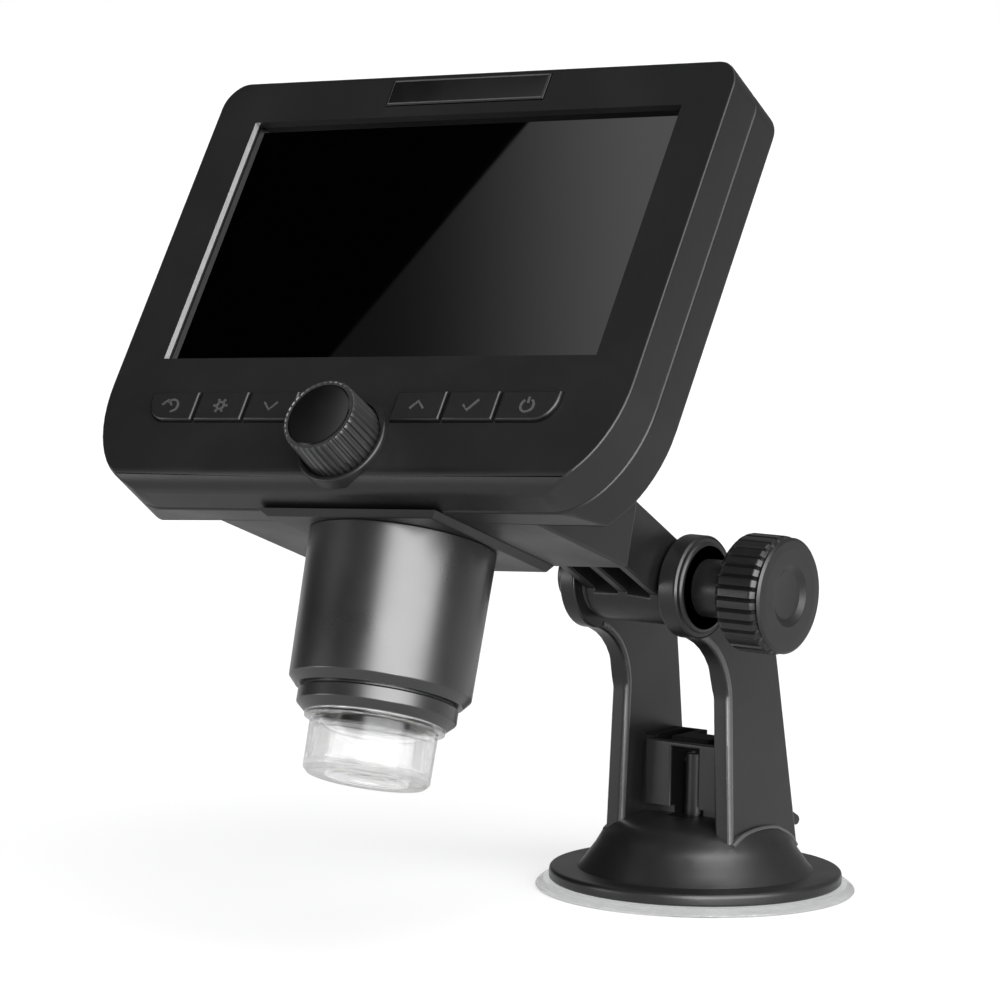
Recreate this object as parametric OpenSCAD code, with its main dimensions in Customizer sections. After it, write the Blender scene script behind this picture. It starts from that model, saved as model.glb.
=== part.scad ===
// Digital microscope: a screen head with a lens barrel, on an arm with a clamped hinge and a suction foot.
// The origin is the middle of the suction face. +X is the viewer's right, +Y is to the back, +Z is up.

/* [Suction pad and foot] */
// Radius of the clear suction pad
pad_r = 33; // [31:0.5:38]
// Thickness of the pad under the foot rim
pad_t = 1.7; // [1.4:0.1:2.4]
// Thickness of the pad at its outer lip
pad_lip_t = 0.8; // [0.5:0.1:1.2]
// Radius of the foot rim
base_r = 30.2; // [27:0.2:30.6]
// Thickness of the foot rim
rim_t = 2.6; // [1.8:0.1:3.2]
// Radius where the cone leaves the rim
cone_r = 24.4; // [22.5:0.2:25.5]
// Height of the cone above the rim
cone_h = 11.6; // [10.6:0.2:12.6]
// Wall of the foot
base_wall = 2.2; // [1.8:0.1:2.6]

/* [Legs] */
// Thickness of a leg at the foot
leg_t = 3.6; // [2.8:0.1:4]
// Thickness of a leg at the hinge
leg_top_t = 3.6; // [2.8:0.1:4]
// How far each leg's outer face spreads from the hinge to the foot
leg_splay = 1.8; // [1:0.1:2.6]
// How far the legs' front edge lies before the middle
leg_front = 11.1; // [10:0.1:12]
// How far the legs' back edge lies behind the middle at the foot
leg_back = 15; // [14:0.2:17]
// How far the legs' back edge lies behind the middle at the bend
leg_back_top = 8.6; // [6:0.2:9.6]
// Height at which the legs' front edge starts to sweep forward
leg_bend = 41.2; // [40:0.1:45]
// Height of the web between the legs
web_top = 31.5; // [29:0.5:34]
// Width of the lever slot in the web
slot_w = 6.6; // [6:0.2:8]

/* [Hinge] */
// How far the hinge lies before the middle of the foot
hinge_fwd = 21.2; // [20:0.2:23]
// Height of the hinge
hinge_h = 65.6; // [64:0.2:69]
// Room for a friction washer between the arm and a leg
friction_room = 1; // [0.6:0.1:1.4]
// Radius of the round knuckles
ring_r = 10.4; // [9.8:0.1:10.8]
// How far the knuckle on the knob's side stands proud of its leg
ring_proud = 1.5; // [1:0.1:2.5]
// Depth of the round recess in that knuckle
ring_recess = 3.2; // [2.6:0.1:3.4]
// Radius of the clamp bolt
bolt_r = 2.5; // [2.2:0.1:2.7]
// Radius of the boss that holds the bolt's head
bolt_boss_r = 5.8; // [5.6:0.1:6.4]
// Length of that boss
bolt_boss_len = 3.8; // [3.6:0.1:5]
// Radius of the clamp knob
knob_r = 11.8; // [10.8:0.2:13]
// Gap between the knuckle and the fluted part of the knob
knob_gap = 8.6; // [6:0.2:10]
// Length of the fluted part of the knob
knob_len = 9.7; // [8.6:0.1:14]
// Length of the knob's smooth end
knob_end = 1.2; // [1:0.1:3]
// Number of flutes on the knob
knob_flutes = 30; // [24:1:34]

/* [Arm] */
// Tilt of the head away from upright, in degrees
head_tilt = 19.5; // [10:0.5:25]
// Turn of the head about the arm, in degrees
head_swivel = 4.25; // [-8:0.25:8]
// Slope of the arm against the head, in degrees
arm_slope = 10.9; // [9:0.1:13]
// Width of the arm
arm_w = 18; // [17:0.1:19.4]
// Distance from the hinge to the head's socket face
arm_len = 56.9; // [53:0.1:60]
// Radius of the arm's knuckle
arm_knuckle_r = 8.2; // [7.4:0.1:8.6]
// Thickness of the arm's walls
arm_wall = 2.5; // [2:0.1:3]
// Radius of the swivel spigot
spigot_r = 5; // [4:0.1:5.6]
// Length of the swivel spigot
spigot_len = 10.6; // [9:0.2:12]
// Radius of the swivel lock ring
lock_ring_r = 12.4; // [11.5:0.1:13]

/* [Head] */
// Lean of the screen face against the barrel, in degrees
face_lean = 16.7; // [15:0.2:18]
// Height of the face above the window's middle
slab_top = 37.4; // [36.4:0.1:39]
// Depth of the face below the window's middle
slab_bottom = 55; // [54.6:0.1:56.4]
// Thickness of the slab
slab_t = 17.3; // [16.5:0.1:18]
// Depth of the front shell
split_d = 9; // [8.8:0.1:9.4]
// Wall of the shells
shell_wall = 2.2; // [1.8:0.1:2.4]
// Radius of the top corners
corner_top_r = 6; // [4:0.5:8]
// Width of the rounded bottom corners
corner_bottom_w = 14.3; // [12:0.1:18]
// Height of the rounded bottom corners
corner_bottom_h = 22; // [14:0.5:23]
// Radius of the lower front edge
lip_r = 4; // [3:0.25:4.5]
// Radius of the back edges
back_edge_r = 3; // [1.5:0.25:4]
// Width of the screen window
window_w = 97; // [90:0.5:98]
// Width of the frame to the left and right of the window
side_border = 9.9; // [9.4:0.1:11]
// Height of the screen window
window_h = 54.8; // [50:0.2:55.4]
// Depth of the glass behind the face
glass_d = 1.7; // [1.3:0.1:1.8]
// Thickness of the screen glass
glass_t = 0.8; // [0.6:0.1:1]
// Width of the label plate
label_w = 35.8; // [30:0.2:40]
// Height of the label plate
label_h = 5.9; // [4:0.1:6.5]
// Distance of the label plate's middle below the slab's top
label_drop = 4.45; // [4:0.05:5]

/* [Housing behind the slab] */
// Distance of the underside below the window's middle, along the barrel
underside = 55.5; // [55:0.1:56.2]
// Distance of the housing's back from the window's plane
housing_back = 32.5; // [32:0.1:35]
// Height of the housing's back above the underside
housing_back_h = 42.5; // [41:0.5:46]
// Height of the housing above the underside
housing_h = 63.5; // [62:0.5:66]

/* [Buttons] */
// Distance from the side of the head to the first button
button_side = 11.4; // [11:0.1:12]
// Distance from the wheel's middle to the end of the left group's spacing
left_clear = 12.5; // [12:0.1:13.5]
// Distance from the wheel's middle to the right group
right_clear = 9; // [8.6:0.1:9.6]
// Space between two buttons
button_space = 0.7; // [0.6:0.1:1]
// Height of a button
button_h = 6.2; // [5:0.1:6.8]
// Distance of the button row below the window's middle
button_row = 38.5; // [38.2:0.1:39]
// How far a button stands out
button_proud = 0.9; // [0.5:0.1:1.4]
// Travel of a button
button_travel = 0.8; // [0.4:0.1:0.8]

/* [Focus drive] */
// Distance of the wheel below the window's middle
wheel_s = 45.7; // [45.5:0.1:46]
// Radius of the wheel
wheel_r = 7.7; // [7:0.1:8]
// How far the wheel stands out
wheel_out = 9; // [7:0.2:12]
// Number of ridges on the wheel
wheel_ridges = 36; // [24:1:44]
// Radius of the collar round the wheel
collar_r = 9.25; // [9.1:0.05:9.3]
// How far the collar stands out
collar_out = 0.95; // [0.5:0.05:1.5]
// Radius of the wheel's shaft
shaft_r = 2; // [1.6:0.1:2.2]
// Pitch radius of the pinion
pinion_r = 3; // [2.8:0.1:3.2]
// Teeth on the pinion
pinion_teeth = 12; // [12:1:12]
// Travel of the lens carriage to each side of its middle
focus_travel = 6; // [4:0.5:6]

/* [Lens barrel] */
// Distance of the barrel's axis behind the window's plane
tube_v = 10.75; // [10.5:0.05:11]
// Radius of the barrel at its lower edge
barrel_r = 17.1; // [16.8:0.1:17.8]
// Widening of the barrel's radius to its top
barrel_flare = 0.5; // [0:0.1:0.8]
// Length of the barrel below the mount plate
barrel_len = 27.8; // [26:0.2:30]
// Wall of the barrel
barrel_wall = 1.6; // [1.2:0.1:1.8]
// Width of the mount plate
plate_w = 36.8; // [36:0.2:42]
// Depth of the mount plate
plate_d = 40; // [38:0.2:40]
// Thickness of the mount plate
plate_t = 1.3; // [1:0.1:2]
// Radius of the lens ring
lens_ring_r = 15; // [14.8:0.1:15.6]
// Height of the lens ring
lens_ring_h = 4.6; // [4.6:0.1:5.6]
// Radius of the clear cap
cap_r = 12; // [11:0.1:12.6]
// Length of the clear cap below the lens ring
cap_len = 11.2; // [9.6:0.2:13]
// Wall of the clear cap
cap_wall = 1.2; // [0.8:0.1:1.4]
// Radius of the lens carriage
carriage_r = 6.2; // [5.6:0.1:6.2]
// Length of the lens carriage
carriage_len = 24; // [22:0.5:24]

/* [Battery and boards] */
// Radius of the battery
battery_r = 9; // [8.5:0.1:9.2]
// Length of the battery
battery_len = 65; // [60:0.5:65]
// Space between each end of the battery and the housing's wall, for its contacts
battery_end = 1.3; // [1.2:0.1:3]
// Thickness of the LCD panel
lcd_t = 2.9; // [2.4:0.1:3]
// Thickness of the boards
board_t = 1.2; // [1:0.1:1.4]

/* [Clearances] */
// Running gap round a shaft or a slide
run_gap = 0.05; // [0.04:0.01:0.08]
// Gap round a button
button_gap = 0.15; // [0.1:0.01:0.2]
// Gap between parts that are laid in
fit_gap = 0.1; // [0.05:0.01:0.2]

/* [Hidden] */
$fn = 64;
// Steps in an arc of a quarter turn
arc_n = 10;
eps = 0.02;

// Places in the head, along the barrel axis (w) and behind the window's plane (v)
socket_out = 7.23;
socket_h = 24.7;
reach_v = housing_back + (arm_len + socket_out)*cos(arm_slope);
reach_w = underside - socket_h + (arm_len + socket_out)*sin(arm_slope);
plate_bottom = -underside - plate_t;
barrel_end = plate_bottom - barrel_len;
chamfer_end = barrel_end - 1.6;
ring_bottom = chamfer_end - lens_ring_h;
cap_bottom = ring_bottom - cap_len;
spigot_bore_r = barrel_r - barrel_wall - 0.3;
shoulder_w = -underside + housing_back_h;
housing_top_w = -underside + housing_h;
function fv(d, w) = (d + w*sin(face_lean)) / cos(face_lean);
housing_top_v = fv(slab_t, housing_top_w) + 0.7;
slope_run = [housing_top_v - housing_back, housing_top_w - shoulder_w];
slope_len = norm(slope_run);
slope_n = [slope_run[1], -slope_run[0]] / slope_len;
slope_t = slope_run / slope_len;

// The wheel's shaft: depth along the face normal at which its pinion meets the rack
rack_v = -0.4;
wheel_v0 = -wheel_s*sin(face_lean);
wheel_w0 = -wheel_s*cos(face_lean);
pinion_d = (rack_v - wheel_v0) / cos(face_lean);
pinion_w = wheel_w0 - pinion_d*sin(face_lean);
pinion_len = 2.8;
tooth_h = 0.35;
tooth_root = 0.3;
tooth_pitch = 2*PI*pinion_r/pinion_teeth;
tooth_tip_w = 0.3;
tooth_base_w = 0.62;

// Carriage, guide, boards in the barrel
carriage_top = plate_bottom + 0.8;
carriage_bottom = carriage_top - carriage_len;
guide_top = carriage_top - focus_travel - 4;
guide_bottom = guide_top - 12;
led_board_top = barrel_end + 2.2;
led_board_t = 1.2;
rack_x = pinion_r;
rack_t = 2.2;
rack_half = 1.4;
rack_low = carriage_top - 2.2;
rack_high = pinion_w + focus_travel + 4.2;
camera_w = plate_bottom + 15.8;
camera_post_x = 18.5;
camera_board_w = 42;
camera_board_d = 16;

// Head outline, and the LCD panel that lies behind the window
slab_w = window_w + 2*side_border;
housing_w = battery_len + 2*(battery_end + shell_wall);
lcd_w = window_w + 4;
lcd_h = window_h + 6.2;

// Boards in the slab, as depths behind the face
face_t = shell_wall;
lcd_front = glass_d + glass_t;
lcd_back = lcd_front + lcd_t;
frame_t = 0.8;
frame_back = lcd_back + frame_t;
main_front = frame_back + 0.6;
main_back = main_front + board_t;
button_flange_d = face_t + fit_gap;
button_flange_t = 0.8;
switch_top = button_flange_d + button_flange_t + button_travel + 0.05;
key_front = switch_top + 1.25;
key_back = key_front + 1;
boss_r = 2.4;
screw_r = 1;
boss_x = slab_w/2 - shell_wall - boss_r - 0.2;
boss_low_x = boss_x - 3;
boss_places = [[-boss_x, 28], [boss_x, 28], [-boss_x, -14], [boss_x, -14],
    [-boss_low_x, -40], [boss_low_x, -40]];
screw_head_r = 1.9;
screw_head_h = 1.3;
screw_seat = slab_t - 2.4;

// Buttons, left and right group
button_pitch = (slab_w/2 - button_side - left_clear)/3;
button_w = button_pitch - button_space;
left_start = -slab_w/2 + button_side;
right_start = right_clear;
last_extra = 1.6;
button_from = [for (i = [0:2]) left_start + i*button_pitch, for (i = [0:2]) right_start + i*button_pitch];
button_to = [for (i = [0:5]) button_from[i] + button_w + (i == 5 ? last_extra : 0)];
button_corner = 4.6;

// Battery place: behind the slope, above the swivel socket
battery_foot = 11;
battery_off = 12.6;
battery_c = [housing_back, shoulder_w] + slope_t*battery_foot - slope_n*battery_off;
contact_t = 0.5;
cover_l = 19.8;
cover_w = battery_len + 3.4;
cover_t = 1.6;

// Hinge and knob, along X
leg_in = arm_w/2 + friction_room;
leg_out = leg_in + leg_top_t;
foot_out = leg_out + leg_splay;
foot_in = foot_out - leg_t;
ring_out = leg_out + ring_proud;
recess_floor = ring_out - ring_recess;
washer_t = 0.6;
recess_r = ring_r - 2.5;
hub_r = recess_r - 2.1;
hub_from = recess_floor + washer_t + fit_gap/2;
knob_from = ring_out + knob_gap;
knob_to = knob_from + knob_len;
knob_tip = knob_to + knob_end;
bolt_tip = knob_to - 2;
insert_r = hub_r - 1.3;
bolt_head_r = bolt_r*1.76;
bolt_head_t = bolt_boss_len - 0.9;
bolt_seat = leg_out + bolt_boss_len - 0.6 - bolt_head_t;

// Foot
rim_top = pad_t + rim_t;
cone_top = rim_top + cone_h;
stem_r = 2.5;
stem_foot_r = 6;
stem_foot_t = 1.2;
stem_travel = 1.4;
pad_pocket_z = 1.1;
pad_pocket_h = stem_foot_t + stem_travel + 0.2;
pad_boss_r = 9.4;
pad_boss_top = pad_pocket_z + pad_pocket_h + 1.1;
web_front = 5;
web_back = 9;
web_set = 2;
web_block = 9.3;
core_w = web_block - slot_w/2 - 2.4;
pivot_y = 5.4;
pivot_z = 22.4;
pivot_r = 1.5;
lever_w = slot_w - 0.8;
stirrup_pin_z = 26.6;
stirrup_pin_r = 0.9;
stirrup_gap = 3.6;
lever_nose_r = 1.6;
paddle_w = 16;
lever_tip = [27.6, 10.9];

// Points of an arc and of an oval arc, and the face's outline with its top and bottom corners
function arc(c, r, a0, a1, n = arc_n) = [for (i = [0:n]) let (a = a0 + (a1 - a0)*i/n) c + r*[cos(a), sin(a)]];
function oval(c, rx, ry, a0, a1, n = 14) =
    [for (i = [0:n]) let (a = a0 + (a1 - a0)*i/n) c + [rx*cos(a), ry*sin(a)]];
function slab_points(inset) = let (x = slab_w/2 - inset, top = slab_top - inset, low = -slab_bottom + inset,
    rt = max(corner_top_r - inset, 0.5), cw = max(corner_bottom_w - inset, 0.5),
    ch = max(corner_bottom_h - inset, 0.5)) concat(
    oval([x - cw, low + ch], cw, ch, -90, 0), arc([x - rt, top - rt], rt, 0, 90),
    arc([rt - x, top - rt], rt, 90, 180), oval([cw - x, low + ch], cw, ch, 180, 270));
// Side profile of the slab: depth and height, with its lip and its upper back edge
function side_points(inset) = let (d = slab_t - inset, top = slab_top - inset, low = -slab_bottom + inset,
    rl = max(lip_r - inset, 0.5), rt = max(back_edge_r - inset, 0.5)) concat(
    arc([inset + rl, low + rl], rl, 180, 270), [[d, low]],
    arc([d - rt, top - rt], rt, 0, 90), [[inset + 0.6, top], [inset, top - 0.6]]);

// Frames: the arm's (y along the arm), the head's (y behind the window's plane, z up the barrel axis),
// and the face's (y is depth behind the face, z is up the face)
module in_arm() { translate([0, -hinge_fwd, hinge_h]) rotate([-head_tilt - arm_slope, 0, 0]) children(); }
module in_head() {
    in_arm() rotate([0, -head_swivel, 0]) rotate([arm_slope, 0, 0])
        translate([0, -reach_v, reach_w]) children();
}
module in_face() { in_head() rotate([-face_lean, 0, 0]) children(); }

// Extrusions: a face outline along its depth, a side outline along X, rods along Y and X
module deep(d1, d2) { translate([0, d2, 0]) rotate([90, 0, 0]) linear_extrude(d2 - d1) children(); }
module along_x(x1, x2) { translate([x1, 0, 0]) rotate([90, 0, 90]) linear_extrude(x2 - x1) children(); }
module rod_y(r, y1, y2) { translate([0, y1, 0]) rotate([-90, 0, 0]) cylinder(r = r, h = y2 - y1); }
module rod_x(r, x1, x2) { translate([x1, 0, 0]) rotate([0, 90, 0]) cylinder(r = r, h = x2 - x1); }
module centred(w, h) { translate([-w/2, -h/2]) square([w, h]); }
module box(x1, x2, y1, y2, z1, z2) { translate([x1, y1, z1]) cube([x2 - x1, y2 - y1, z2 - z1]); }
module along_tube() { translate([0, tube_v, 0]) children(); }
module ring(r_out, r_in, z1, z2) {
    translate([0, 0, z1]) linear_extrude(z2 - z1) difference() { circle(r_out); circle(r_in); }
}

// Solids that both shells share, in the head's frame
module slab_solid(inset, d1, d2) {
    rotate([-face_lean, 0, 0]) intersection() {
        deep(d1, d2) polygon(slab_points(inset));
        along_x(-slab_w, slab_w) polygon(side_points(inset));
    }
}
module housing_solid(inset, front_d) {
    low = -underside - 1;
    back = housing_back - inset;
    corner = [housing_back, shoulder_w] - slope_n*inset;
    bend = corner + slope_t*((back - corner[0])/slope_t[0]);
    top = [housing_top_v, housing_top_w] - slope_n*inset;
    along_x(-housing_w/2 + inset, housing_w/2 - inset)
        polygon([[fv(front_d, low), low], [back, low], bend, top, [fv(front_d, top[1]), top[1]]]);
}
// Slab and housing together, cut flat at the underside
module head_block(inset, d1, d2) {
    difference() {
        union() {
            slab_solid(inset, d1, d2);
            housing_solid(inset, d1 + 1);
        }
        box(-slab_w, slab_w, -40, 60, -underside - 20, -underside + inset);
    }
}
module socket_cuts() {
    for (s = [13, 1]) translate([-slab_w/2 - 1, main_back, s - 4.2]) cube([3.4, 3.1, 8.4]);
}
module screw_places() { for (p = boss_places) translate([p[0], 0, p[1]]) children(); }

module front_shell() {
    color([0.05, 0.05, 0.05]) in_head() difference() {
        union() {
            difference() {
                slab_solid(0, 0, split_d);
                slab_solid(shell_wall, face_t, split_d + 1);
            }
            rotate([-face_lean, 0, 0]) {
                screw_places() rod_y(boss_r, face_t - eps, split_d);
                translate([0, 0, -wheel_s]) {
                    rod_y(collar_r, -collar_out, face_t - eps);
                    rod_y(shaft_r + 2, face_t - 2*eps, key_front - 0.4);
                }
            }
        }
        rotate([-face_lean, 0, 0]) {
            deep(-1, face_t + 1) centred(window_w, window_h);
            deep(glass_d, face_t + 1) centred(window_w + 2.6, window_h + 2.6);
            for (i = [0:5]) deep(-1, face_t + 1) button_outline(i, button_gap);
            deep(-1, 0.4) label_outline(fit_gap);
            translate([0, 0, -wheel_s]) {
                rod_y(wheel_r + 0.5, -collar_out - 1, 0.9);
                rod_y(shaft_r + run_gap, -1, split_d);
            }
            screw_places() rod_y(screw_r, face_t + 1, split_d + 1);
            socket_cuts();
        }
    }
}

module arm_axis_in_head() {
    translate([0, reach_v, -reach_w]) rotate([-arm_slope, 0, 0]) children();
}
module rear_shell() {
    socket_y = -arm_len - spigot_len - 0.6;
    color([0.05, 0.05, 0.05]) in_head() difference() {
        union() {
            difference() {
                head_block(0, split_d, slab_t);
                head_block(shell_wall, split_d - 1, slab_t - shell_wall);
            }
            rotate([-face_lean, 0, 0]) screw_places() rod_y(boss_r, split_d, slab_t - 1);
            arm_axis_in_head() rod_y(spigot_r + 3, socket_y, -arm_len - 2);
            arm_axis_in_head() intersection() {
                rod_y(lock_ring_r, -arm_len - 10, -arm_len);
                rotate([arm_slope, 0, 0]) translate([0, -reach_v, reach_w])
                    box(-20, 20, housing_back - shell_wall + eps, housing_back + 20, -underside, 0);
            }
            for (x = [-camera_post_x, camera_post_x]) translate([x, tube_v, -underside + 1])
                cylinder(r = 2.2, h = camera_w + underside - 1);
        }
        along_tube() translate([0, 0, -underside - 1]) cylinder(r = spigot_bore_r + fit_gap, h = 5);
        arm_axis_in_head() rod_y(spigot_r + run_gap, socket_y - 1, -arm_len + 1);
        rotate([-face_lean, 0, 0]) {
            screw_places() rod_y(screw_r + 0.15, split_d - 1, slab_t + 1);
            screw_places() rod_y(screw_head_r + 0.2, screw_seat, slab_t + 1);
            socket_cuts();
        }
        for (x = [-camera_post_x, camera_post_x])
            translate([x, tube_v, camera_w - 5]) cylinder(r = 0.8, h = 6);
        battery_hatch(cover_l, cover_w, -cover_t, 1);
        battery_hatch(cover_l - 1, cover_w - 2.4, -shell_wall - 1, 0);
    }
}
// A block on the slope of the housing: length along the slope, width, and from and to along its normal
module battery_hatch(l, w, n1, n2) {
    foot = [housing_back, shoulder_w] + slope_t*battery_foot;
    along_x(-w/2, w/2) polygon([foot - slope_t*l/2 + slope_n*n1, foot + slope_t*l/2 + slope_n*n1,
        foot + slope_t*l/2 + slope_n*n2, foot - slope_t*l/2 + slope_n*n2]);
}
module battery_cover() {
    color([0.06, 0.06, 0.06]) in_head()
        battery_hatch(cover_l - 2*fit_gap, cover_w - 2*fit_gap, -cover_t, 0);
}
module shell_screws() {
    color("silver") in_face() screw_places() {
        rod_y(screw_r, face_t + 1.4, screw_seat);
        difference() {
            rod_y(screw_head_r, screw_seat, screw_seat + screw_head_h);
            for (a = [0, 90]) rotate([0, a, 0]) box(-1.3, 1.3, screw_seat + 0.6, slab_t, -0.25, 0.25);
        }
    }
}
module screen_glass() {
    color([0.02, 0.02, 0.02]) in_face() deep(glass_d, glass_d + glass_t)
        centred(window_w + 2.6 - 2*fit_gap, window_h + 2.6 - 2*fit_gap);
}
module label_outline(gap) {
    translate([-0.6, slab_top - label_drop]) centred(label_w + 2*gap, label_h + 2*gap);
}
module label_plate() {
    color([0.01, 0.01, 0.01]) in_face() deep(-0.35, 0.4) label_outline(0);
}
module lcd_panel() {
    color([0.1, 0.1, 0.12]) in_face() deep(lcd_front, lcd_back) centred(lcd_w, lcd_h);
}
module lcd_frame() {
    color("silver") in_face() {
        deep(lcd_back, frame_back) difference() {
            centred(lcd_w, lcd_h);
            centred(lcd_w - 24, lcd_h - 24);
        }
        for (x = [-lcd_w/2 + 6.5, lcd_w/2 - 18.5], s = [-lcd_h/2 + 8.5, lcd_h/2 - 6.5])
            translate([x, 0, s]) rod_y(2, frame_back - eps, main_front);
    }
}
module main_board() {
    color([0.05, 0.3, 0.12]) in_face() deep(main_front, main_back)
        translate([-slab_w/2 + shell_wall + 5.4, -lcd_h/2 + 4.5])
            square([slab_w - 2*shell_wall - 24, lcd_h - 7]);
}
module chip(x, s, w, h, t) {
    deep(main_back, main_back + t) translate([x, s]) centred(w, h);
}
module processor_chips() {
    color([0.08, 0.08, 0.08]) in_face() {
        chip(-12, 16, 12, 12, 1.2);
        chip(6, 16, 10, 8, 1);
        chip(-30, 20, 5, 5, 0.9);
    }
}
module wifi_module() {
    color([0.6, 0.6, 0.62]) in_face() chip(26, 18, 13, 12, 1.8);
}
module usb_socket() {
    color("silver") in_face() difference() {
        translate([-slab_w/2 + 0.4, main_back, 13 - 3.8]) cube([8, 2.7, 7.6]);
        translate([-slab_w/2 - 1, main_back + 0.4, 13 - 3.3]) cube([6, 1.9, 6.6]);
    }
}
module card_socket() {
    color("silver") in_face() difference() {
        translate([-slab_w/2 + 0.4, main_back, 1 - 4]) cube([14, 1.9, 8]);
        translate([-slab_w/2 - 1, main_back + 0.4, 1 - 3.5]) cube([12, 1.1, 7]);
    }
}

// Outline of a button on the face; the outer lower corners of the two end buttons are rounded
module button_outline(i, gap) {
    x1 = button_from[i] - gap;
    x2 = button_to[i] + gap;
    s1 = -button_row - button_h/2 - gap;
    s2 = -button_row + button_h/2 + gap;
    r = button_corner;
    if (i == 0) polygon(concat([[x2, s1], [x2, s2], [x1, s2]], arc([x1 + r, s1 + r], r, 180, 270)));
    else if (i == 5) polygon(concat([[x2, s2], [x1, s2], [x1, s1]], arc([x2 - r, s1 + r], r, -90, 0)));
    else polygon([[x1, s1], [x2, s1], [x2, s2], [x1, s2]]);
}
module button(i) {
    mid = (button_from[i] + button_to[i])/2;
    color([0.08, 0.08, 0.08]) in_face() {
        deep(-button_proud, button_flange_d + eps) button_outline(i, 0);
        deep(button_flange_d, button_flange_d + button_flange_t)
            translate([mid, -button_row]) centred(button_to[i] - button_from[i] + 0.4, button_h + 1.2);
    }
}
module play_button() { button(0); }
module mode_button() { button(1); }
module down_button() { button(2); }
module up_button() { button(3); }
module ok_button() { button(4); }
module power_button() { button(5); }
module key_board() {
    low = -wheel_s + 3.4;
    end = slab_w/2 - shell_wall - 5.2;
    color([0.05, 0.3, 0.12]) in_face() deep(key_front, key_back) difference() {
        translate([-end, low]) square([2*end, -lcd_h/2 - 1.9 - low]);
        translate([0, -wheel_s]) circle(shaft_r + 3);
        for (p = [boss_places[4], boss_places[5]]) translate(p) circle(boss_r + 0.3);
    }
}
module key_switches() {
    color([0.7, 0.7, 0.7]) in_face() for (i = [0:5])
        translate([(button_from[i] + button_to[i])/2, 0, -button_row]) {
            deep(switch_top + 0.3, key_front) centred(5.2, 5.2);
            rod_y(1.6, switch_top, switch_top + 0.3 + eps);
        }
}
module battery() {
    color([0.2, 0.4, 0.75]) in_head() translate([0, battery_c[0], battery_c[1]]) {
        rod_x(battery_r, -battery_len/2, battery_len/2 - 1);
        rod_x(battery_r/3, battery_len/2 - 1 - eps, battery_len/2);
    }
}
module battery_contacts() {
    outer = housing_w/2 - shell_wall;
    color("silver") in_head() translate([0, battery_c[0], battery_c[1]]) for (side = [-1, 1]) {
        inner = battery_len/2 + 0.1;
        along_x(min(side*inner, side*(inner + contact_t)), max(side*inner, side*(inner + contact_t)))
            centred(battery_r*1.22, battery_r*1.22);
        along_x(min(side*inner, side*(outer - eps)), max(side*inner, side*(outer - eps)))
            translate([0, -battery_r*0.55]) centred(battery_r*0.9, 1);
    }
}
module camera_board() {
    color([0.05, 0.3, 0.12]) in_head() along_tube() translate([0, 0, camera_w])
        linear_extrude(board_t) centred(camera_board_w, camera_board_d);
}
module image_sensor() {
    color([0.12, 0.12, 0.16]) in_head() along_tube()
        translate([-4.5, -4.5, camera_w - 1.4]) cube([9, 9, 1.4]);
}

// The wheel with its ridges, its shaft and the pinion that drives the carriage's rack
module focus_wheel() {
    color([0.07, 0.07, 0.07]) in_face() translate([0, 0, -wheel_s]) difference() {
        union() {
            rod_y(wheel_r - 0.35, -wheel_out, 0.7);
            for (i = [0:wheel_ridges - 1]) rotate([0, i*360/wheel_ridges, 0])
                box(wheel_r - 0.8, wheel_r, -wheel_out + 0.4, 0.5, -0.32, 0.32);
        }
        rod_y(shaft_r, -wheel_out + 2.5, 1);
    }
}
module focus_shaft() {
    color("silver") in_face() translate([0, 0, -wheel_s])
        rod_y(shaft_r, -wheel_out + 2.6, pinion_d + pinion_len/2);
}
module tooth() {
    polygon([[-tooth_base_w/2, -tooth_root - 0.1], [tooth_base_w/2, -tooth_root - 0.1],
        [tooth_tip_w/2, tooth_h*0.6], [-tooth_tip_w/2, tooth_h*0.6]]);
}
module focus_pinion() {
    color([0.8, 0.66, 0.3]) in_face() translate([0, 0, -wheel_s])
        deep(pinion_d - pinion_len/2, pinion_d + pinion_len/2) difference() {
            union() {
                circle(pinion_r - tooth_root);
                for (i = [0:pinion_teeth - 1]) rotate(i*360/pinion_teeth)
                    translate([0, pinion_r]) tooth();
            }
            circle(shaft_r);
        }
}
// The rack's teeth slope with the pinion's axis, half a pitch away from the pinion's tooth
module rack() {
    rotate([-face_lean, 0, 0]) translate([0, 0, -wheel_s]) for (i = [-5:4]) {
        s = (i + 0.5)*tooth_pitch;
        d = pinion_d - s*tan(face_lean);
        deep(d - rack_half, d + rack_half) translate([rack_x, s]) rotate(90) tooth();
    }
    box(rack_x + tooth_root - 0.02, rack_x + tooth_root + rack_t, rack_v - rack_half, rack_v + rack_half,
        rack_low, rack_high);
}
module lens_carriage() {
    color([0.12, 0.12, 0.12]) in_head() {
        along_tube() difference() {
            translate([0, 0, carriage_bottom]) cylinder(r = carriage_r, h = carriage_len);
            translate([0, 0, carriage_bottom - 1]) cylinder(r = carriage_r - 1.4, h = carriage_len + 2);
        }
        rack();
        difference() {
            box(rack_x + tooth_root, rack_x + tooth_root + rack_t, rack_v - rack_half, tube_v,
                rack_low, carriage_top);
            along_tube() translate([0, 0, rack_low - 1]) cylinder(r = carriage_r - 1.4, h = 5);
        }
    }
}
module front_lens() {
    color([0.7, 0.8, 0.85]) in_head() along_tube() translate([0, 0, carriage_bottom + 0.6])
        cylinder(r = carriage_r - 1.4, h = 2);
}
module back_lens() {
    color([0.7, 0.8, 0.85]) in_head() along_tube() translate([0, 0, carriage_top - 6])
        cylinder(r = carriage_r - 1.4, h = 1.8);
}

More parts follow.
